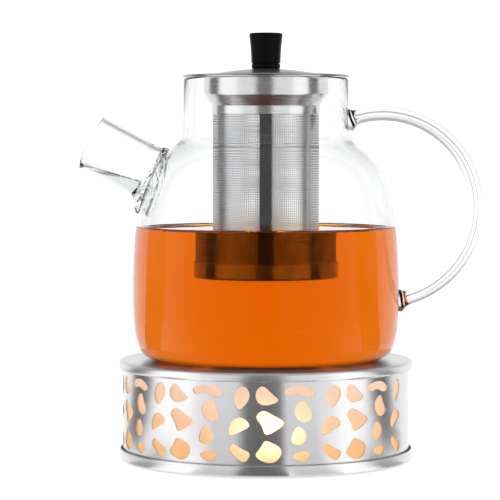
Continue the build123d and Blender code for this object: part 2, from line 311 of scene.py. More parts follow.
def swept(name, rings, sharp=35.0):
    """A tube with closed ends through rings of points, all with the same count."""
    verts = [tuple(v) for ring in rings for v in ring]
    count = len(rings[0])
    faces = []
    for row in range(len(rings) - 1):
        for k in range(count):
            m = (k + 1) % count
            low, high = row * count, (row + 1) * count
            faces.append([low + k, low + m, high + m, high + k])
    faces.append(list(range(count))[::-1])
    faces.append([(len(rings) - 1) * count + k for k in range(count)])
    return piece(name, verts, faces, sharp)


def facing_out(obj):
    """Turns every face outward."""
    bm = bmesh.new()
    bm.from_mesh(obj.data)
    bmesh.ops.recalc_face_normals(bm, faces=bm.faces)
    bm.to_mesh(obj.data)
    bm.free()
    return obj


def combined(target, others, operation):
    """Target joined with, or cut by, the other closed meshes, which are then removed."""
    for other in others:
        modifier = target.modifiers.new(operation, "BOOLEAN")
        modifier.operation = operation
        modifier.solver = "EXACT"
        modifier.object = other
    bpy.context.view_layer.update()
    graph = bpy.context.evaluated_depsgraph_get()
    mesh = bpy.data.meshes.new_from_object(target.evaluated_get(graph))
    target.modifiers.clear()
    target.data = mesh
    for other in others:
        bpy.data.objects.remove(other)
    return target


def smooth_by_angle(obj, sharp):
    mesh = obj.data
    mesh.polygons.foreach_set("use_smooth", [True] * len(mesh.polygons))
    mesh.set_sharp_from_angle(angle=radians(sharp))
    return obj


def radial_normals(obj, walls):
    """Exact normals on the faces that lie on an upright cylinder. Walls says which faces don't."""
    mesh = obj.data
    normals = []
    for face in mesh.polygons:
        inward = -1 if face.normal.dot(Vector((face.center.x, face.center.y, 0))) < 0 else 1
        for vertex in face.vertices:
            spot = mesh.vertices[vertex].co
            out = Vector((spot.x, spot.y, 0)).normalized() * inward
            normals.append(face.normal if walls[face.index] else out)
    mesh.normals_split_custom_set(normals)
    return obj


def thick_sheet(name, flat_verts, flat_faces, place, thickness):
    """A pierced flat sheet bent by place(u, v, depth) and given its thickness, and which faces are walls."""
    count = len(flat_verts)
    verts = [place(u, v, 0) for u, v in flat_verts] + [place(u, v, thickness) for u, v in flat_verts]
    faces = [list(f) for f in flat_faces] + [[count + i for i in reversed(f)] for f in flat_faces]
    sides = {}
    for face in flat_faces:
        for first, second in zip(face, face[1:] + face[:1]):
            sides[(first, second)] = True
    walls = [False] * len(faces)
    for first, second in sides:
        if (second, first) not in sides:
            faces.append([second, first, first + count, second + count])
            walls.append(True)
    return piece(name, verts, faces, 40.0), walls


# ---- materials


def shader(name, color, **values):
    """A Principled material with fixed values on its sockets."""
    mat = bpy.data.materials.new(name)
    mat.use_nodes = True
    bsdf = mat.node_tree.nodes["Principled BSDF"]
    bsdf.inputs["Base Color"].default_value = (*color, 1)
    for socket, value in values.items():
        bsdf.inputs[socket.replace("_", " ").title().replace("Ior", "IOR")].default_value = value
    return mat


def bare(name):
    """A material with nothing but its output."""
    mat = bpy.data.materials.new(name)
    mat.use_nodes = True
    mat.node_tree.nodes.remove(mat.node_tree.nodes["Principled BSDF"])
    return mat


def ended(mat, socket, output):
    """The material, with an output joined to its surface or volume."""
    mat.node_tree.links.new(output, mat.node_tree.nodes["Material Output"].inputs[socket])
    return mat


def node(mat, kind, links=None, **settings):
    """A new node. Links gives an input its value or the output that feeds it."""
    made = mat.node_tree.nodes.new(kind)
    for key, value in settings.items():
        setattr(made, key, value)
    for key, value in (links or {}).items():
        if isinstance(value, bpy.types.NodeSocket):
            mat.node_tree.links.new(value, made.inputs[key])
        else:
            made.inputs[key].default_value = value
    return made


def feed(mat, socket, output):
    mat.node_tree.links.new(output, mat.node_tree.nodes["Principled BSDF"].inputs[socket])


def spread(mat, value, low, high):
    """A 0 to 1 value spread between low and high."""
    return node(mat, "ShaderNodeMapRange", {"Value": value, "To Min": low, "To Max": high}).outputs["Result"]


def tinted(mat, value, dark, light):
    mix = node(mat, "ShaderNodeMix", {"Factor": value}, data_type="RGBA")
    mix.inputs[6].default_value = (*dark, 1)
    mix.inputs[7].default_value = (*light, 1)
    return mix.outputs[2]


def maths(mat, operation, *values):
    return node(mat, "ShaderNodeMath", dict(enumerate(values)), operation=operation).outputs[0]


def mixed(mat, share, first, second):
    """Two shaders, with the given share of the second."""
    return node(mat, "ShaderNodeMixShader", {0: share, 1: first, 2: second}).outputs[0]


def spot_of(mat):
    """The shaded point's own coordinates, in metres."""
    return node(mat, "ShaderNodeTexCoord").outputs["Object"]


def climb_of(mat, low, high):
    """0 to 1 between two heights in millimetres."""
    level = node(mat, "ShaderNodeSeparateXYZ", {0: spot_of(mat)}).outputs[2]
    ends = {"Value": level, "From Min": low * MM, "From Max": high * MM}
    return node(mat, "ShaderNodeMapRange", ends).outputs["Result"]


def soaking(mat, color, density):
    """Light is absorbed inside the mesh, by so much per metre."""
    soak = node(mat, "ShaderNodeVolumeAbsorption", {"Color": (*color, 1), "Density": density})
    return ended(mat, "Volume", soak.outputs[0])


def turned_noise(mat, along, across):
    """Noise whose grain runs round the axis: along and across are its frequencies per metre."""
    parts = node(mat, "ShaderNodeSeparateXYZ", {0: spot_of(mat)}).outputs
    flat = node(mat, "ShaderNodeCombineXYZ", {0: parts[0], 1: parts[1]}).outputs[0]
    radius = node(mat, "ShaderNodeVectorMath", {0: flat}, operation="LENGTH").outputs["Value"]
    fine = maths(mat, "MULTIPLY", maths(mat, "ADD", radius, parts[2]), across)
    slow_x, slow_y = maths(mat, "MULTIPLY", parts[0], along), maths(mat, "MULTIPLY", parts[1], along)
    place = node(mat, "ShaderNodeCombineXYZ", {0: slow_x, 1: slow_y, 2: fine}).outputs[0]
    grain = node(mat, "ShaderNodeTexNoise", {"Vector": place, "Scale": 1.0, "Detail": 4.0})
    return grain.outputs["Fac"]


def noise(mat, scale, detail=3.0):
    cloud = node(mat, "ShaderNodeTexNoise", {"Vector": spot_of(mat), "Scale": scale, "Detail": detail})
    return cloud.outputs["Fac"]


def bump(mat, height, distance):
    made = node(mat, "ShaderNodeBump", {"Height": height, "Strength": 1.0, "Distance": distance})
    feed(mat, "Normal", made.outputs["Normal"])


def brushed_steel(name, color, rough, anisotropy, grain):
    """Steel with a fine grain that runs round the axis. Grain is the depth of its scratches."""
    mat = shader(name, color, metallic=1.0, anisotropic=anisotropy, anisotropic_rotation=0.25)
    lines = turned_noise(mat, 25.0, 1800.0)
    feed(mat, "Roughness", spread(mat, lines, rough * 0.75, rough * 1.25))
    shade = maths(mat, "MULTIPLY", lines, noise(mat, 60.0))
    dark, light = tuple(c * 0.93 for c in color), tuple(min(c * 1.1, 1) for c in color)
    feed(mat, "Base Color", tinted(mat, shade, dark, light))
    if grain:
        bump(mat, lines, grain)
    if anisotropy:
        turn = node(mat, "ShaderNodeTangent", direction_type="RADIAL", axis="Z")
        feed(mat, "Tangent", turn.outputs["Tangent"])
    return mat


def tea_stained(name, color, rough, anisotropy, grain):
    """Brushed steel that turns brown where it hangs in the tea."""
    mat = brushed_steel(name, color, rough, anisotropy, grain)
    depth = climb_of(mat, TEA_Z + 0.3, TEA_Z - 0.5)
    cloudy = maths(mat, "MULTIPLY_ADD", noise(mat, 220.0), 0.4, 0.7)
    brown = tuple(c * share for c, share in zip(color, STAIN))
    feed(mat, "Base Color", tinted(mat, maths(mat, "MULTIPLY", depth, cloudy), color, brown))
    return mat


def clear_glass():
    """Glass a little grey with depth, and greyed at its edges by painted shade. It is open where wet is 1,
    under the tea's skin.
    """
    tint = (0.04, 0.04, 0.04, 1)
    values = {"roughness": 0.0, "transmission_weight": 1.0, "ior": GLASS_IOR, "specular_tint": tint}
    mat = shader("clear_glass", (1.0, 1.0, 1.0), **values)
    wet = node(mat, "ShaderNodeAttribute", attribute_name="wet").outputs["Fac"]
    feed(mat, "Alpha", spread(mat, wet, 1.0, 0.0))
    facing = node(mat, "ShaderNodeLayerWeight", {"Blend": 0.5}).outputs["Facing"]
    # Painted shade: the glass turns grey where its surface is seen edge-on.
    feed(mat, "Base Color", tinted(mat, maths(mat, "POWER", facing, 5.0), (1.0, 1.0, 1.0), PAINTED_EDGE_SHADE))
    bump(mat, noise(mat, 45.0, 1.0), 0.00006)
    return soaking(mat, (0.62, 0.66, 0.67), GLASS_DENSITY)


def tea():
    """Black tea. Its skin is water against air on top and water against glass elsewhere."""
    mat = shader("tea", (1.0, 0.6, 0.15), roughness=0.0, transmission_weight=1.0, ior=WATER_IOR)
    level = node(mat, "ShaderNodeSeparateXYZ", {0: spot_of(mat)}).outputs[2]
    on_top = maths(mat, "GREATER_THAN", level, (TEA_Z - 0.05) * MM)
    feed(mat, "IOR", spread(mat, on_top, WATER_IOR / GLASS_IOR, WATER_IOR))
    return soaking(mat, (0.95, 0.75, 0.0), TEA_DENSITY)


def black_plastic():
    mat = shader("black_plastic", (0.004, 0.004, 0.004), roughness=0.38, specular_ior_level=0.05)
    grain = noise(mat, 2600.0)
    feed(mat, "Roughness", spread(mat, noise(mat, 300.0), 0.3, 0.42))
    feed(mat, "Base Color", tinted(mat, grain, (0.003, 0.003, 0.003), (0.006, 0.006, 0.006)))
    bump(mat, grain, 0.00001)
    return mat


def wax():
    mat = shader("wax", (0.93, 0.9, 0.82), roughness=0.4, subsurface_weight=0.6, subsurface_scale=0.004)
    mat.node_tree.nodes["Principled BSDF"].inputs["Subsurface Radius"].default_value = (1.0, 0.6, 0.35)
    mottle = noise(mat, 140.0)
    feed(mat, "Base Color", tinted(mat, mottle, (0.9, 0.86, 0.76), (0.95, 0.93, 0.87)))
    bump(mat, mottle, 0.0001)
    return mat


def foil():
    mat = shader("foil", (0.82, 0.82, 0.83), metallic=1.0, roughness=0.22)
    crease = noise(mat, 900.0)
    feed(mat, "Roughness", spread(mat, crease, 0.15, 0.32))
    feed(mat, "Base Color", tinted(mat, crease, (0.74, 0.74, 0.75), (0.86, 0.86, 0.87)))
    bump(mat, crease, 0.00003)
    return mat


def cotton():
    """Wick: pale below and charred at its tip."""
    mat = shader("cotton", (0.8, 0.75, 0.65), roughness=0.9)
    burnt = climb_of(mat, WICK_TOP - 8, WICK_TOP - 4)
    feed(mat, "Base Color", tinted(mat, burnt, (0.8, 0.74, 0.62), (0.015, 0.012, 0.01)))
    weave = node(mat, "ShaderNodeTexWave", {"Vector": spot_of(mat), "Scale": 500.0, "Distortion": 2.0})
    bump(mat, weave.outputs["Fac"], 0.0002)
    return mat


def leaves():
    mat = shader("tea_leaves", (0.05, 0.02, 0.008), roughness=0.6)
    curl = noise(mat, 900.0)
    feed(mat, "Base Color", tinted(mat, curl, (0.012, 0.005, 0.002), (0.1, 0.04, 0.012)))
    bump(mat, curl, 0.0006)
    return mat


def frosted():
    """Frosted sheet behind the cut-outs: it scatters the candle's light both widely and forward. Its tint,
    orange low down and pink higher up, is painted glow colour.
    """
    mat = bare("frosted")
    # Painted light: the tint climbs with height to give the glow's colour, orange below and pink above, with
    # a little random tone from the noise.
    shade = maths(mat, "MULTIPLY_ADD", noise(mat, 1500.0), 0.12, climb_of(mat, 12.0, 44.0))
    tint = tinted(mat, shade, (1.0, 0.77, 0.5), (1.0, 0.89, 0.94))
    wide = node(mat, "ShaderNodeBsdfTranslucent", {"Color": tint}).outputs[0]
    bending = {"Color": (1.0, 0.93, 0.85, 1), "Roughness": 0.65, "IOR": 1.45}
    ahead = node(mat, "ShaderNodeBsdfRefraction", bending).outputs[0]
    skin = node(mat, "ShaderNodeBsdfDiffuse", {"Color": tint}).outputs[0]
    return ended(mat, "Surface", mixed(mat, 0.15, mixed(mat, 0.12, wide, ahead), skin))


def clear_back():
    """The smooth inner face of the frosted sheet, which only lets light through."""
    mat = bare("clear_back")
    through = node(mat, "ShaderNodeBsdfTransparent", {"Color": (1.0, 0.96, 0.92, 1)}).outputs[0]
    return ended(mat, "Surface", through)


def flame_glow():
    """Blue at the wick, pale above it and orange at the tip."""
    mat = shader("flame", (1.0, 0.6, 0.2), roughness=0.5, emission_strength=FLAME_STRENGTH)
    ramp = node(mat, "ShaderNodeValToRGB", {"Fac": climb_of(mat, FLAME_LOW, FLAME_HIGH)})
    ramp.color_ramp.elements[0].color = (0.15, 0.25, 0.9, 1)
    ramp.color_ramp.elements[1].color = (1.0, 0.5, 0.12, 1)
    middle = ramp.color_ramp.elements.new(0.3)
    middle.color = (1.0, 0.78, 0.42, 1)
    feed(mat, "Emission Color", ramp.outputs["Color"])
    return mat


def dress(obj, body, slot, *materials):
    """Gives a piece its materials and the body it rides on. The slot is not used."""
    for mat in materials:
        obj.data.materials.append(mat)
    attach(obj, body)
    return obj


# ---- pot


def pot_side(inset, level=None):
    """The pot's half outline from the axis to the neck, moved inward by inset, with a point at the level."""
    path = [(r, WARMER_H + z) for r, z in moved(POT_OUTLINE, inset)]
    foot_z = WARMER_H + inset
    path[0] = (POT_OUTLINE[0][0] - inset / 2, foot_z)
    path[-1] = (NECK_R - inset, path[-1][1])
    kick = [(FOOT_IN_R * t / 8, foot_z + KICK_UP * (1 - (t / 8) ** 2)) for t in range(8)]
    side = kick + [(FOOT_IN_R, foot_z)] + spline(path, (0.5, 0), (0, 1), 9)
    if level is None:
        return side
    return with_level(side, level)


def with_level(side, level):
    """The outline with one more point where it climbs past the level."""
    for number in range(10, len(side)):
        low, high = side[number - 1], side[number]
        if low[1] < level <= high[1]:
            share = (level - low[1]) / (high[1] - low[1])
            return side[:number] + [(low[0] + (high[0] - low[0]) * share, level)] + side[number:]
    return side


def off_path(path, r, z):
    """How far a (radius, height) point is from a path."""
    spots = np.array(path)
    first, run = spots[:-1], np.diff(spots, axis=0)
    share = ((np.array((r, z)) - first) * run).sum(1) / (run**2).sum(1)
    nearest = first + run * np.clip(share, 0, 1)[:, None]
    return float(np.linalg.norm(nearest - (r, z), axis=1).min())


def spout_frame():
    """The spout's own axes: its mouth at the origin, facing out along +Z, and up towards +X."""
    out = Vector((-cos(SPOUT_RISE), 0, sin(SPOUT_RISE)))
    up = Vector((sin(SPOUT_RISE), 0, cos(SPOUT_RISE)))
    side = up.cross(out)
    turn = Matrix((side, up, out)).transposed().to_4x4()
    return Matrix.Translation(SPOUT_MOUTH) @ turn


def down_share(turn):
    """1 at the under side of the spout, falling to 0 a quarter turn away."""
    return max(0.0, -sin(turn)) ** 3


def spout_placed(obj):
    """A piece made in the spout's own axes, in millimetres, set on the pot."""
    obj.data.transform(spout_frame())
    obj.data.transform(Matrix.Scale(MM, 4))
    return facing_out(obj)


def spout_solid(name, path, flare, wedge=0.0, segments=96):
    """A closed solid along the spout's axis. Path is (radius, depth) points, flare widens its root, and
    wedge is how far its under side is filled at the root."""
    root_depth, root_fade, mouth_fade, curl_fade = -SPOUT_LENGTH - 5.5, 4.0, 2.2, 0.9
    rings = []
    for r, depth in path:
        root = exp(-(((depth - root_depth) / root_fade) ** 2)) if depth > root_depth else 1.0
        mouth = exp(-((depth / mouth_fade) ** 2)) if depth < 0 else 1.0
        filled = wedge and -SPOUT_LENGTH - 0.8 < depth < -1.5
        floor = -SPOUT_R + SPOUT_T + wedge * min(max(-depth / SPOUT_LENGTH, 0), 1)
        ring = []
        for k in range(segments):
            turn = 2 * pi * k / segments
            under = down_share(turn)
            ripple = 0.4 * root * (sin(3 * turn + 0.7) + sin(7 * turn + depth) * 0.6 + sin(13 * turn) * 0.35)
            radius = r + flare * root * (0.35 + under) + ripple + LIP_DROP * mouth * under**2
            low = max(radius * sin(turn), floor) if filled else radius * sin(turn)
            curl = LIP_CURL * under**2 * exp(-((depth / curl_fade) ** 2))
            ring.append((radius * cos(turn), low, depth - curl))
        rings.append(ring)
    obj = swept(name, rings)
    obj.data.transform(Matrix.Scale(1 / MM, 4))
    return spout_placed(obj)


def spout_outside():
    rim = SPOUT_T / 2
    path = [(SPOUT_R - rim + rim * sin(a), -rim + rim * cos(a)) for a in np.linspace(0, pi / 2, 6)]
    depths = list(np.arange(-2.0, -SPOUT_LENGTH - 12, -0.8))
    path += [(SPOUT_R + 0.35 * exp(-(((d + 27.6) / 0.8) ** 2)), d) for d in depths]
    return spout_solid("spout_outside", path, 5.5)


def spout_bore():
    rim = SPOUT_T / 2
    wall = SPOUT_R - SPOUT_T
    path = [(wall + rim, 2.0), (wall + rim, 0.001)]
    path += [(wall + rim - rim * sin(a), -rim + rim * cos(a)) for a in np.linspace(0.1, pi / 2, 6)]
    path += [(wall, d) for d in np.arange(-2.0, -SPOUT_LENGTH - 14, -0.8)]
    return spout_solid("spout_bore", path, 5.0, 6.0)


def spout_collar(turns=120, along=14):
    """The thick uneven edge of melted glass where the spout opens into the pot."""
    start, start_r, widening, sag = -34.5, 12.6, 2.0, 5.6
    wall_depth, wall_tilt, wall_reach, wall_bulge = -38.6, 0.163, 9.8, 1.3
    loop = [(t, 1) for t in np.linspace(0, 1, along)] + [(t, -1) for t in np.linspace(1, 0, along)]
    verts = []
    for k in range(turns):
        turn = 2 * pi * k / turns
        for t, side in loop:
            centre = -sag * t**1.5
            height = centre + 15.0 * sin(turn)
            end = wall_depth - wall_tilt * (wall_reach - height) - wall_bulge * cos(turn) ** 2
            depth = start + (end - start) * t
            half = (0.7 + 0.6 * t**3) * (1 - 0.55 * (t in (0.0, 1.0)))
            uneven = 0.3 * sin(5 * turn + 1.3 * depth) + 0.22 * sin(11 * turn - 0.9 * depth + side)
            uneven += 0.16 * sin(19 * turn + 2.1 * depth)
            r = start_r + widening * t + side * half + uneven * t
            verts.append((r * cos(turn), centre + r * sin(turn), depth))
    size = len(loop)
    faces = []
    for k in range(turns):
        here, after = k * size, (k + 1) % turns * size
        for j in range(size):
            m = (j + 1) % size
            faces.append([here + j, here + m, after + m, after + j])
    return spout_placed(piece("spout_collar", verts, faces, scale=1.0))


def handle_solid(name, radius, start, end, flare, segments=40, steps=120):
    """A rod along the handle's arc between two angles, swelling by flare where it meets the pot."""
    rings = []
    low_foot, high_foot = HANDLE_LOW - 0.04, HANDLE_TOP + 0.02
    for turn in np.linspace(start, end, steps):
        out = Vector((cos(turn), 0, sin(turn)))
        centre = HANDLE_CENTRE + out * HANDLE_R
        swell = sum(exp(-(((turn - foot) * HANDLE_R / 2.4) ** 2)) for foot in (low_foot, high_foot))
        ring = []
        for k in range(segments):
            a = 2 * pi * k / segments
            r = radius + flare * swell * (1 + 0.12 * sin(3 * a + 1) + 0.06 * sin(5 * a))
            ring.append(centre + out * (r * cos(a)) + Vector((0, r * sin(a), 0)))
        rings.append(ring)
    return facing_out(swept(name, rings))


def glass_pot():
    """Body, spout and handle melted into one piece of glass."""
    half = GLASS / 2
    top, middle = RIM_Z - half, NECK_R - half
    quarter = np.linspace(0, pi / 2, 6)
    outer = [(middle + half * cos(a), top + half * sin(a)) for a in quarter]
    inner = [(middle - half * cos(a), top + half * sin(a)) for a in quarter[:-1]]
    body = lathe("glass_pot", pot_side(0) + outer + [(0, RIM_Z)], ROUND)
    wall = pot_side(GLASS, CONTACT_Z)
    above = [(middle, RIM_Z + 0.001), (middle, RIM_Z + 3), (0, RIM_Z + 3)]
    hollow = lathe("hollow", wall + inner + above, ROUND)
    rod = handle_solid("rod", HANDLE_ROD_R, HANDLE_LOW - 0.12, HANDLE_TOP + 0.07, 2.6)
    bore = handle_solid("bore", HANDLE_BORE_R, HANDLE_LOW + 0.03, HANDLE_TOP - 0.03, 0.0, 20)
    combined(body, [spout_outside(), rod], "UNION")
    combined(body, [hollow, spout_bore()], "DIFFERENCE")
    combined(body, [bore], "DIFFERENCE")
    combined(body, [spout_collar()], "UNION")
    body.data.materials.clear()
    smooth_by_angle(body, 40.0)
    wet = body.data.attributes.new("wet", "FLOAT", "FACE")
    for face in body.data.polygons:
        spot = face.center / MM
        touched = spot.z < CONTACT_Z and off_path(wall, hypot(spot.x, spot.y), spot.z) < 0.4
        wet.data[face.index].value = float(touched)
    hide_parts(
        "glass_body",
        "spout_tube",
        "spout_bead",
        "handle_rod",
        "handle_upper_weld",
        "handle_lower_weld",
    )
    return dress(body, "pot", "clear_glass", clear_glass())


def tea_fill():
    """The tea, up to a small rise against the glass."""
    wall = pot_side(GLASS - TEA_OVERLAP, CONTACT_Z)
    edge = next(p for p in wall[10:] if p[1] >= CONTACT_Z)
    wall = [p for p in wall if p[1] < CONTACT_Z - 0.01]
    climb = CONTACT_Z - TEA_Z
    steps = (0.0, 0.06, 0.14, 0.25, 0.4, 0.6, 0.9, 1.4)
    rise = [(edge[0] - 4.0 * t, TEA_Z + climb * exp(-t * 4.0)) for t in steps]
    obj = lathe("tea", wall + rise + [(40, TEA_Z), (0, TEA_Z)], ROUND)
    return dress(obj, "pot", "clear_glass", tea())


# ---- infuser


def infuser_collar(steel):
    inner, outer = TUBE_R + 0.05, TUBE_R + 0.05 + SHEET
    flange_top = RIM_Z + LID_T
    path = [
        (inner, BAND_LOW_Z),
        (inner, BAND_TOP_Z, 1.0),
        (COLLAR_R - SHEET, COLLAR_LOW_Z, 1.0),
        (COLLAR_R - SHEET, flange_top, 1.4),
        (FLANGE_R, flange_top, 0.3),
        (FLANGE_R, RIM_Z, 0.3),
        (COLLAR_R, RIM_Z, 0.8),
        (COLLAR_R, COLLAR_LOW_Z - 0.2, 1.4),
        (outer, BAND_TOP_Z - 0.2, 0.7),
        (outer, BAND_LOW_Z, 0.2),
    ]
    obj = lathe("infuser_collar_steel", bent(path))
    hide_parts("infuser_collar")
    return dress(obj, "infuser", "polished_steel", steel)


def pierced_grid(columns, rows, share, solid):
    """Flat points and faces of a unit grid with a square hole in each cell, except in the solid columns."""
    gap = (1 - share) / 2
    us = [c + f for c in range(columns) for f in (gap, 1 - gap)]
    vs = [0.0] + [r + f for r in range(rows) for f in (gap, 1 - gap)] + [float(rows)]
    verts = [(u, v) for u in us for v in vs]
    faces = []
    for i in range(len(us)):
        here, after = i * len(vs), (i + 1) % len(us) * len(vs)
        for j in range(len(vs) - 1):
            hole = i % 2 == 0 and j % 2 == 1 and not solid(i // 2)
            if not hole:
                faces.append([here + j, after + j, after + j + 1, here + j + 1])
    return verts, faces


def infuser_tube(steel, strip_steel_painted_dark):
    """The rolled tube of finely pierced sheet, with its plain front strip and its seam."""
    low, high = INFUSER_LOW_Z + 2 * SHEET, BAND_TOP_Z - 1
    columns = 140
    pitch = 2 * pi * TUBE_R / columns
    rows = int((high - low) / pitch)
    strip_columns, seam_column = 5, int(columns * 50.4 / 360)

    def solid(column):
        from_front = min(column, columns - column)
        return from_front <= strip_columns // 2 or column in (seam_column, seam_column + 1)

    verts, faces = pierced_grid(columns, rows, 0.58, solid)

    def place(u, v, depth):
        turn = 2 * pi * (u - 0.5) / columns
        radius = TUBE_R - depth
        return radius * sin(turn), -radius * cos(turn), low + v * (high - low) / rows

    obj, walls = thick_sheet("infuser_mesh_tube", verts, faces, place, TUBE_T)
    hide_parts("infuser_tube")
    radial_normals(obj, walls)
    dress(obj, "infuser", "satin_steel", steel, strip_steel_painted_dark)
    half = (strip_columns // 2 + 0.5) * pitch
    for face in obj.data.polygons:
        spot = face.center / MM
        face.material_index = int(spot.y < 0 and abs(spot.x) < half)
    return obj


def infuser_base(steel):
    """The solid band round the tube's foot, and its pierced floor."""
    outer = TUBE_R + 0.05 + SHEET
    path = [
        (outer - 3.5, INFUSER_LOW_Z),
        (outer, INFUSER_LOW_Z, 1.2),
        (outer, BASE_BAND_Z, 0.2),
        (outer - SHEET, BASE_BAND_Z, 0.2),
        (outer - SHEET, INFUSER_LOW_Z + SHEET, 0.6),
        (outer - 3.5, INFUSER_LOW_Z + SHEET),
    ]
    band = lathe("infuser_foot_band", bent(path))
    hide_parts("infuser_base")
    dress(band, "infuser", "polished_steel", steel)
    rim = outer - 3.4
    pitch, hole = 2.2, 0.55
    count = int(rim / pitch)
    verts = [(rim * cos(2 * pi * k / 96), rim * sin(2 * pi * k / 96)) for k in range(96)]
    faces = [list(range(96))]
    for i in range(-count, count + 1):
        for j in range(-count, count + 1):
            x, y = i * pitch, j * pitch
            if hypot(x, y) < rim - 2.0:
                faces.append(list(range(len(verts), len(verts) + 6)))
                verts += [(x + hole * cos(pi * k / 3), y + hole * sin(pi * k / 3)) for k in range(6)]
    kept_verts, kept_faces = cut_flat(verts, [], faces)

    def place(u, v, depth):
        return u, v, INFUSER_LOW_Z + SHEET - depth

    floor_sheet, _ = thick_sheet("infuser_floor", kept_verts, kept_faces, place, SHEET)
    return dress(floor_sheet, "infuser", "satin_steel", steel)


def cut_flat(verts, edges, faces):
    """Triangles of the first face outside all the other faces, which are its holes."""
    turned = []
    for face in faces:
        corners = [verts[i] for i in face]
        area = sum(p[0] * q[1] - q[0] * p[1] for p, q in zip(corners, corners[1:] + corners[:1]))
        turned.append(face if area > 0 else face[::-1])
    out = delaunay_2d_cdt([Vector(v) for v in verts], edges, turned, 0, 1e-6)
    spots, triangles, sources = out[0], out[2], out[5]
    kept = [list(t) for t, s in zip(triangles, sources) if list(s) == [0]]
    return [tuple(s) for s in spots], kept


def tea_leaves():
    """Swollen wet leaves that fill the lower part of the infuser."""

    def lumpy(number, r, z, turn):
        shake = sin(5 * turn + number) + sin(11 * turn + 2.3 * number) + sin(17 * turn - 1.7 * number)
        return r * (1 + 0.006 * shake) - 0.3, z + 0.25 * shake * min(r / 10, 1)

    low, high, outer = INFUSER_LOW_Z + SHEET + 0.9, LEAVES_TOP, TUBE_R - TUBE_T - 1.0
    path = [(0, low), (outer - 2, low)] + [(outer, z) for z in np.linspace(low + 2, high - 2, 12)]
    for r in np.linspace(1.5, outer - 2, 12):
        path.append((outer - r, high - 1.2 * (1 - exp(-r / 6.0)) + 0.8 * sin(r)))
    obj = lathe("tea_leaves", path + [(0, high - 1)], 120, 60.0, lumpy)
    return dress(obj, "infuser", "black_plastic", leaves())


# ---- lid


def lid_cover(steel):
    drop = SEAT_Z - LID_Z - LID_T
    reach = DOME_R**2 - SEAT_R**2
    dome = [(r, SEAT_Z - drop * (r * r - SEAT_R**2) / reach) for r in np.linspace(SEAT_R, DOME_R, 14)]
    rim = LID_T / 2
    edge = [(LID_R - rim + rim * sin(a), LID_Z + rim + rim * cos(a)) for a in np.linspace(0, pi, 9)]
    under = [(r, z - LID_T) for r, z in dome[::-1]]
    bore = 2.2
    crown = [(bore, SEAT_Z)] + dome + [(DOME_R + 0.6, LID_Z + LID_T)]
    outline = crown + edge + under + [(bore, SEAT_Z - LID_T)]
    obj = lathe("lid_dome", outline, sharp=60.0)
    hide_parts("lid_cover")
    return dress(obj, "lid", "satin_steel", steel)


def lid_skirt(steel):
    low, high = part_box("lid_skirt")[0].z / MM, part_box("lid_skirt")[1].z / MM
    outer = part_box("lid_skirt")[1].x / MM
    path = [(outer - SHEET, high), (outer - SHEET, low, 0.25), (outer, low, 0.25), (outer, high)]
    obj = lathe("lid_locating_ring", bent(path, 4))
    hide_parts("lid_skirt")
    return dress(obj, "lid", "polished_steel", steel)


def knob(plastic):
    bore = 2.05
    foot_z, foot_top = height_of("knob_foot", 0), height_of("knob_foot", 1)
    foot_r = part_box("knob_foot")[1].x / MM
    foot_path = [
        (bore, foot_z),
        (foot_r - 0.7, foot_z, 0.3),
        (foot_r, foot_z + 0.9, 0.5),
        (foot_r, foot_top, 0.35),
        (bore, foot_top),
    ]
    foot = lathe("knob_foot_ring", bent(foot_path, 4), 96)
    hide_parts("knob_foot")
    dress(foot, "lid", "black_plastic", plastic)
    low_r, neck_r = 7.4, 6.8
    groove_z = KNOB_LOW_Z + 0.4
    path = [(bore, KNOB_LOW_Z), (neck_r, KNOB_LOW_Z), (neck_r, groove_z), (low_r, groove_z, 0.25)]
    for t in np.linspace(0, 1, 12)[1:-1]:
        path.append((low_r + (KNOB_TOP_R - low_r) * t**1.7, groove_z + (KNOB_TOP_Z - groove_z) * t))
    path += [
        (KNOB_TOP_R, KNOB_TOP_Z, 0.9),
        (KNOB_TOP_R - 2.5, KNOB_TOP_Z - 0.05),
        (KNOB_TOP_R - 5, KNOB_TOP_Z - 0.25),
        (0, KNOB_TOP_Z - 0.35),
        (0, KNOB_LOW_Z + 6.6),
        (bore, KNOB_LOW_Z + 6.6),
    ]
    obj = lathe("knob_cone", bent(path), 96)
    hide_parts("lid_knob")
    return dress(obj, "lid", "black_plastic", plastic)


# ---- warmer


def base_tray(steel):
    path = [
        (0, 0),
        (TRAY_R - 2.5, 0),
        (TRAY_R, 0.6, 1.6),
        (TRAY_R, TRAY_H, 0.45),
        (TRAY_R - 1.0, TRAY_H, 0.45),
        (TRAY_R - 1.0, TRAY_FLOOR, 0.8),
        (0, TRAY_FLOOR),
    ]
    obj = lathe("tray", bent(path), ROUND)
    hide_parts("base_tray")
    return dress(obj, "base", "satin_steel", steel)


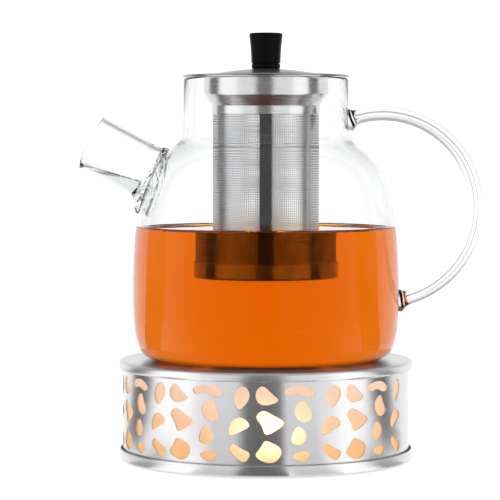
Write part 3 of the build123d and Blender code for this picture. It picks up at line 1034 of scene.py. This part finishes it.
def drum_shell(steel):
    """The pierced wall: flat sectors cut round their pebbles, then bent to the drum."""
    step = 360 / MOTIFS
    left, right = -15.5, -15.5 + step
    low, high = TRAY_FLOOR, WARMER_H - PLATE_T
    guides = np.linspace(left, right, 13)
    arc = radians(1) * DRUM_R
    verts, faces = [], []
    for motif in range(MOTIFS):
        flat = [(left * arc, low), (right * arc, low), (right * arc, high), (left * arc, high)]
        shapes = [[0, 1, 2, 3]]
        for bearing, level, outline in PEBBLES.values():
            if SEAM_FROM < bearing + motif * step < SEAM_TO:
                continue
            curve = spline(outline, steps=6, closed=True)
            shapes.append(list(range(len(flat), len(flat) + len(curve))))
            flat += [(bearing * arc + u, level + v) for u, v in curve]
        edges = []
        for guide in guides[1:-1]:
            edges.append((len(flat), len(flat) + 1))
            flat += [(guide * arc, low), (guide * arc, high)]
        spots, triangles = cut_flat(flat, edges, shapes)
        base = len(verts)
        verts += [(u + motif * step * arc, v) for u, v in spots]
        faces += [[base + i for i in t] for t in triangles]
    verts, faces = welded(verts, faces, 360 * arc)

    def place(u, v, depth):
        turn = u / DRUM_R
        return (DRUM_R - depth) * sin(turn), -(DRUM_R - depth) * cos(turn), v

    obj, walls = thick_sheet("drum_shell", verts, faces, place, DRUM_T)
    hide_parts("drum_wall")
    radial_normals(obj, walls)
    return dress(obj, "drum", "satin_steel", steel)


def welded(verts, faces, around):
    """Shared points merged, where points one whole turn apart are the same."""
    found, number = {}, []
    spots = []
    for u, v in verts:
        key = (round((u % around) / 1e-4) % round(around / 1e-4), round(v / 1e-4))
        if key not in found:
            found[key] = len(spots)
            spots.append((u, v))
        number.append(found[key])
    used = [[number[i] for i in f] for f in faces]
    return spots, [f for f in used if len(set(f)) == len(f)]


def top_plate(steel):
    """Plate with a rolled lip, a centre hole and a ring of heat slots."""
    hole, slot_in, slot_out, slot_r, slots = 9.0, 24.5, 35.5, 3.5, 10
    flat_r = PLATE_R - 18
    rim = [
        (flat_r, WARMER_H),
        (PLATE_R, WARMER_H, 1.6),
        (PLATE_R, LIP_LOW + 1.2, 1.2),
        (PLATE_R - 1.6, LIP_LOW, 0.35),
        (PLATE_R - 1.7, LIP_LOW + 1.4, 0.5),
        (PLATE_R - PLATE_T, LIP_LOW + 2.2, 0.6),
        (PLATE_R - PLATE_T, WARMER_H - PLATE_T, 0.8),
        (flat_r, WARMER_H - PLATE_T),
    ]
    edge = lathe("plate_rim", bent(rim), ROUND)
    verts = [(flat_r * sin(2 * pi * k / ROUND), -flat_r * cos(2 * pi * k / ROUND)) for k in range(ROUND)]
    faces = [list(range(ROUND)), list(range(ROUND, ROUND + 48))]
    verts += [(hole * cos(2 * pi * k / 48), hole * sin(2 * pi * k / 48)) for k in range(48)]
    for number in range(slots):
        turn = 2 * pi * number / slots
        ends = [(slot_out, a) for a in np.linspace(-pi / 2, pi / 2, 9)]
        ends += [(slot_in, a) for a in np.linspace(pi / 2, 3 * pi / 2, 9)]
        faces.append(list(range(len(verts), len(verts) + len(ends))))
        for r, a in ends:
            x, y = r + slot_r * cos(a), slot_r * sin(a)
            verts.append((x * cos(turn) - y * sin(turn), x * sin(turn) + y * cos(turn)))
    spots, triangles = cut_flat(verts, [], faces)

    def place(u, v, depth):
        return u, v, WARMER_H - depth

    middle, _ = thick_sheet("top_plate_steel", spots, triangles, place, PLATE_T)
    joined = joined_at(middle, edge, flat_r)
    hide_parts("top_plate")
    return dress(joined, "drum", "satin_steel", steel)


def joined_at(first, second, radius):
    """Two meshes as one: their upright walls at the radius are dropped, and the points there merged."""
    bm = bmesh.new()
    bm.from_mesh(first.data)
    bm.from_mesh(second.data)
    walls = []
    for face in bm.faces:
        if all(abs(hypot(v.co.x, v.co.y) / MM - radius) < 0.01 for v in face.verts):
            walls.append(face)
    bmesh.ops.delete(bm, geom=walls, context="FACES_ONLY")
    bmesh.ops.remove_doubles(bm, verts=bm.verts, dist=2e-6)
    bmesh.ops.recalc_face_normals(bm, faces=bm.faces)
    bm.to_mesh(first.data)
    bm.free()
    bpy.data.objects.remove(second)
    return smooth_by_angle(first, 35.0)


def drum_liner():
    """Frosted sheet inside the drum. Its outer face scatters light and the rest is clear."""
    low, high = TRAY_FLOOR + 0.4, WARMER_H - PLATE_T - 0.4
    outer, inner = LINER_R, LINER_R - 0.5
    obj = lathe("glow_liner", [(inner, low), (outer, low), (outer, high), (inner, high)])
    dress(obj, "drum", "frosted_glass", frosted(), clear_back())
    for face in obj.data.polygons:
        spot = face.center / MM
        scatters = hypot(spot.x, spot.y) > outer - 0.1 and low + 0.1 < spot.z < high - 0.1
        face.material_index = int(not scatters)
    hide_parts("drum_liner")
    return obj


def tealight(foil_mat, wax_mat, cotton_mat):
    """Foil cup, wax with a shallow pool, and wick. Cup and wax cast no shadow, so the drum glows low down."""
    low = TRAY_FLOOR

    def fluted(number, r, z, turn):
        share = min(max((z - low - 2) / 3, 0), 1) * min(max((TEALIGHT_TOP - 1.5 - z) / 2, 0), 1)
        return r - 0.22 * share * (0.5 + 0.5 * cos(48 * turn)), z

    wall_low, wall_high = TEALIGHT_R - 0.5, TEALIGHT_R - 0.15
    path = [(0, low), (wall_low, low, 1.0)]
    for t in np.linspace(0, 1, 12):
        path.append((wall_low + (wall_high - wall_low) * t, low + 2 + (TEALIGHT_TOP - low - 3) * t))
    path += [(TEALIGHT_R, TEALIGHT_TOP - 0.5, 0.25), (TEALIGHT_R - 0.2, TEALIGHT_TOP, 0.2)]
    path += [(wall_high - 0.35, TEALIGHT_TOP - 0.6)]
    path += [(wall_low - 0.3, low + 1.2), (wall_low - 1.0, low + 0.3), (0, low + 0.3)]
    cup = lathe("tealight_foil", bent(path, 3), ROUND, 50.0, fluted)
    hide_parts("tealight_cup")
    dress(cup, "tealight", "foil", foil_mat)
    pool = [(17.6, 0.0), (15, 0.35), (11, 1.2), (6, 1.5), (0.9, 1.6)]
    outline = [(0.9, low + 0.8), (7.2, low + 0.8), (17.4, low + 0.8), (17.9, low + 1.4)]
    outline += [(17.9, WAX_TOP - 0.3)] + spline([(r, WAX_TOP - depth) for r, depth in pool], steps=5)
    body = lathe("tealight_candle", outline, 96)
    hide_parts("tealight_wax")
    dress(body, "tealight", "wax", wax_mat)
    cup.visible_shadow = body.visible_shadow = False
    rings = []
    for t in np.linspace(0, 1, 14):
        z = low + 0.5 + (WICK_TOP - low - 0.5) * t
        lean = 1.2 * t**4
        r = 0.75 * (1 - 0.35 * t**6)
        turns = [2 * pi * k / 12 for k in range(12)]
        rings.append([Vector((lean + r * cos(a), r * sin(a), z)) for a in turns])
    wick = facing_out(swept("tealight_wick_cotton", rings))
    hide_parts("tealight_wick")
    dress(wick, "tealight", "wick", cotton_mat)


def flame():
    """A steady teardrop flame, and the lamp that lights the drum."""
    tall = FLAME_HIGH - FLAME_LOW
    path = [(3.3 * sin(pi * t**0.75) * (1 - 0.35 * t), FLAME_LOW + tall * t) for t in np.linspace(0, 1, 20)]
    path[0], path[-1] = (0, FLAME_LOW), (0, FLAME_HIGH)
    obj = lathe("candle_flame", path, 48)
    obj.data.transform(Matrix.Translation((FLAME_X * MM, 0, 0)))
    dress(obj, "tealight", "wax", flame_glow())
    obj.visible_shadow = False
    lamp = bpy.data.lights.new("candle_light", "POINT")
    lamp.energy = CANDLE_WATTS
    lamp.color = (1.0, 0.78, 0.5)
    lamp.shadow_soft_size = 0.005
    holder = bpy.data.objects.new("candle_light", lamp)
    holder.location = (FLAME_X * MM, 0, LAMP_Z * MM)
    bpy.context.scene.collection.objects.link(holder)
    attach(holder, "tealight")


# ---- stage

CAMERA_X, CAMERA_Y, CAMERA_Z = -0.0081, -1.175, 0.161
AIM_Z = 0.107
LENS = 166.0


def camera():
    data = bpy.data.cameras.new("camera")
    data.lens = LENS
    data.sensor_width = 36.0
    data.clip_start = 0.01
    holder = bpy.data.objects.new("camera", data)
    holder.location = (CAMERA_X, CAMERA_Y, CAMERA_Z)
    aim = Vector((CAMERA_X, 0, AIM_Z)) - holder.location
    holder.rotation_euler = aim.to_track_quat("-Z", "Y").to_euler()
    bpy.context.scene.collection.objects.link(holder)
    bpy.context.scene.camera = holder


def card_light(name, strength):
    """A card's light. It shows only in what mirrors it and is clear to other rays."""
    mat = bare(name)
    light = node(mat, "ShaderNodeEmission", {"Color": (1, 1, 1, 1), "Strength": strength}).outputs[0]
    clear = node(mat, "ShaderNodeBsdfTransparent").outputs[0]
    shown = maths(mat, "GREATER_THAN", node(mat, "ShaderNodeLightPath").outputs["Glossy Depth"], 0.5)
    return ended(mat, "Surface", mixed(mat, shown, clear, light))


def card(name, bearing, spread_deg, edges, strength):
    """A curved studio card round the set, seen only in reflections. Bearing 0 is the front, and edges are
    the (radius, height) of its two long edges in metres."""
    turns = np.radians(np.linspace(bearing - spread_deg, bearing + spread_deg, 13))
    verts = [(r * sin(t), -r * cos(t), z) for r, z in edges for t in turns]
    faces = [[i, i + 1, i + 14, i + 13] for i in range(12)]
    obj = piece(name, verts, faces, scale=1.0)
    obj.data.materials.append(card_light(name, strength))
    obj.visible_camera = False
    obj.visible_diffuse = False
    obj.visible_shadow = False


def standing(name, bearing, spread_deg, distance, high, strength):
    card(name, bearing, spread_deg, ((distance, 0.02), (distance, high)), strength)


def floor_card(name, bearing, spread_deg, near, far, strength):
    """A card that lies on the table."""
    card(name, bearing, spread_deg, ((near, 0.0004), (far, 0.0004)), strength)


def floor():
    size = 12.0
    corners = [(-size, -size, 0), (size, -size, 0), (size, size, 0), (-size, size, 0)]
    obj = piece("floor", corners, [[0, 1, 2, 3]], scale=1.0)
    values = {"specular_ior_level": 0.0, "emission_color": (1, 1, 1, 1), "emission_strength": 0.62}
    obj.data.materials.append(shader("floor", (0.95, 0.95, 0.95), roughness=0.9, **values))


def world():
    """Bright round the horizon and darker overhead."""
    made = bpy.data.worlds.new("studio")
    made.use_nodes = True
    tree = made.node_tree
    spot = tree.nodes.new("ShaderNodeTexCoord").outputs["Generated"]
    parts = tree.nodes.new("ShaderNodeSeparateXYZ")
    tree.links.new(spot, parts.inputs[0])
    sky = tree.nodes.new("ShaderNodeMapRange")
    sky.interpolation_type = "SMOOTHSTEP"
    for key, value in {"From Min": 0.12, "From Max": 0.55, "To Min": 1.17, "To Max": 0.5}.items():
        sky.inputs[key].default_value = value
    tree.links.new(parts.outputs[2], sky.inputs["Value"])
    tree.nodes["Background"].inputs["Color"].default_value = (1, 1, 1, 1)
    tree.links.new(sky.outputs["Result"], tree.nodes["Background"].inputs["Strength"])
    bpy.context.scene.world = made


def stage():
    camera()
    world()
    floor()
    tray_edge, drum_edge = 0.078, 0.13
    standing("card_front", -3, 15, 2.2, 1.6, 0.2)
    floor_card("card_front_near", -3, 12, tray_edge, drum_edge, 0.14)
    floor_card("card_front_low", -3, 15, drum_edge, 0.3, 0.14)
    floor_card("card_front_far", -3, 15, 0.3, 2.4, 0.25)
    # Bearings and spreads of the white, dark and grey cards on each side
    sides = (("left", -1, -73, 19, -110, 14, -28), ("right", 1, 66, 16, 96, 13, 24))
    for side, hand, soft, wide, dark, dark_wide, grey in sides:
        standing(f"card_soft_{side}", soft, wide, 2.0, 1.8, 1.6)
        floor_card(f"card_soft_low_{side}", soft, wide, drum_edge, 2.0, 1.6)
        standing(f"card_dark_{side}", dark, dark_wide, 2.0, 1.4, 0.35)
        floor_card(f"card_dark_low_{side}", dark, dark_wide, drum_edge, 4.0, 0.15)
        floor_card(f"card_grey_{side}", grey, 10, drum_edge, 0.3, 0.8)
        floor_card(f"card_grey_near_{side}", 22 * hand, 10, tray_edge, drum_edge, 0.8)
        floor_card(f"card_soft_near_{side}", 42 * hand, 10, tray_edge, drum_edge, 1.6)
        floor_card(f"card_dark_near_{side}", 64 * hand, 9, tray_edge, drum_edge, 0.45)
    scene = bpy.context.scene
    scene.view_settings.view_transform = "Standard"
    scene.cycles.use_denoising = True
    scene.cycles.max_bounces = 24
    scene.cycles.transmission_bounces = 20
    scene.cycles.transparent_max_bounces = 16


def build():
    satin = brushed_steel("satin_steel", (0.68, 0.68, 0.69), 0.24, 0.7, 0.000002)
    bright = brushed_steel("bright_steel", (0.7, 0.7, 0.71), 0.26, 0.5, 0.000001)
    pierced = tea_stained("pierced_steel", (0.62, 0.62, 0.63), 0.3, 0.4, 0.000001)
    # Painted reflection: the front strip's steel is given a far darker colour than the rest of the sheet,
    # standing in for the dark surroundings it mirrors.
    dark_painted_strip = tea_stained("strip_steel_painted_dark", (0.28, 0.28, 0.29), 0.07, 0.0, 0.0)
    foot_steel = tea_stained("foot_steel", (0.62, 0.62, 0.63), 0.2, 0.5, 0.000001)
    lid_steel = brushed_steel("lid_steel", (0.42, 0.42, 0.43), 0.28, 0.5, 0.000002)
    plate_steel = brushed_steel("plate_steel", (0.74, 0.74, 0.75), 0.34, 0.6, 0.000002)
    foil_mat = foil()
    glass_pot()
    tea_fill()
    infuser_collar(bright)
    infuser_tube(pierced, dark_painted_strip)
    infuser_base(foot_steel)
    tea_leaves()
    lid_cover(lid_steel)
    lid_skirt(bright)
    knob(black_plastic())
    base_tray(satin)
    drum_shell(satin)
    top_plate(plate_steel)
    drum_liner()
    tealight(foil_mat, wax(), cotton())
    flame()
    kept = {"candle_ring": satin, "wick_tab": foil_mat, "knob_washer": satin, "knob_screw": bright}
    for name, mat in kept.items():
        frame["nodes"][name].data.materials.clear()
        frame["nodes"][name].data.materials.append(mat)


stage()
build()
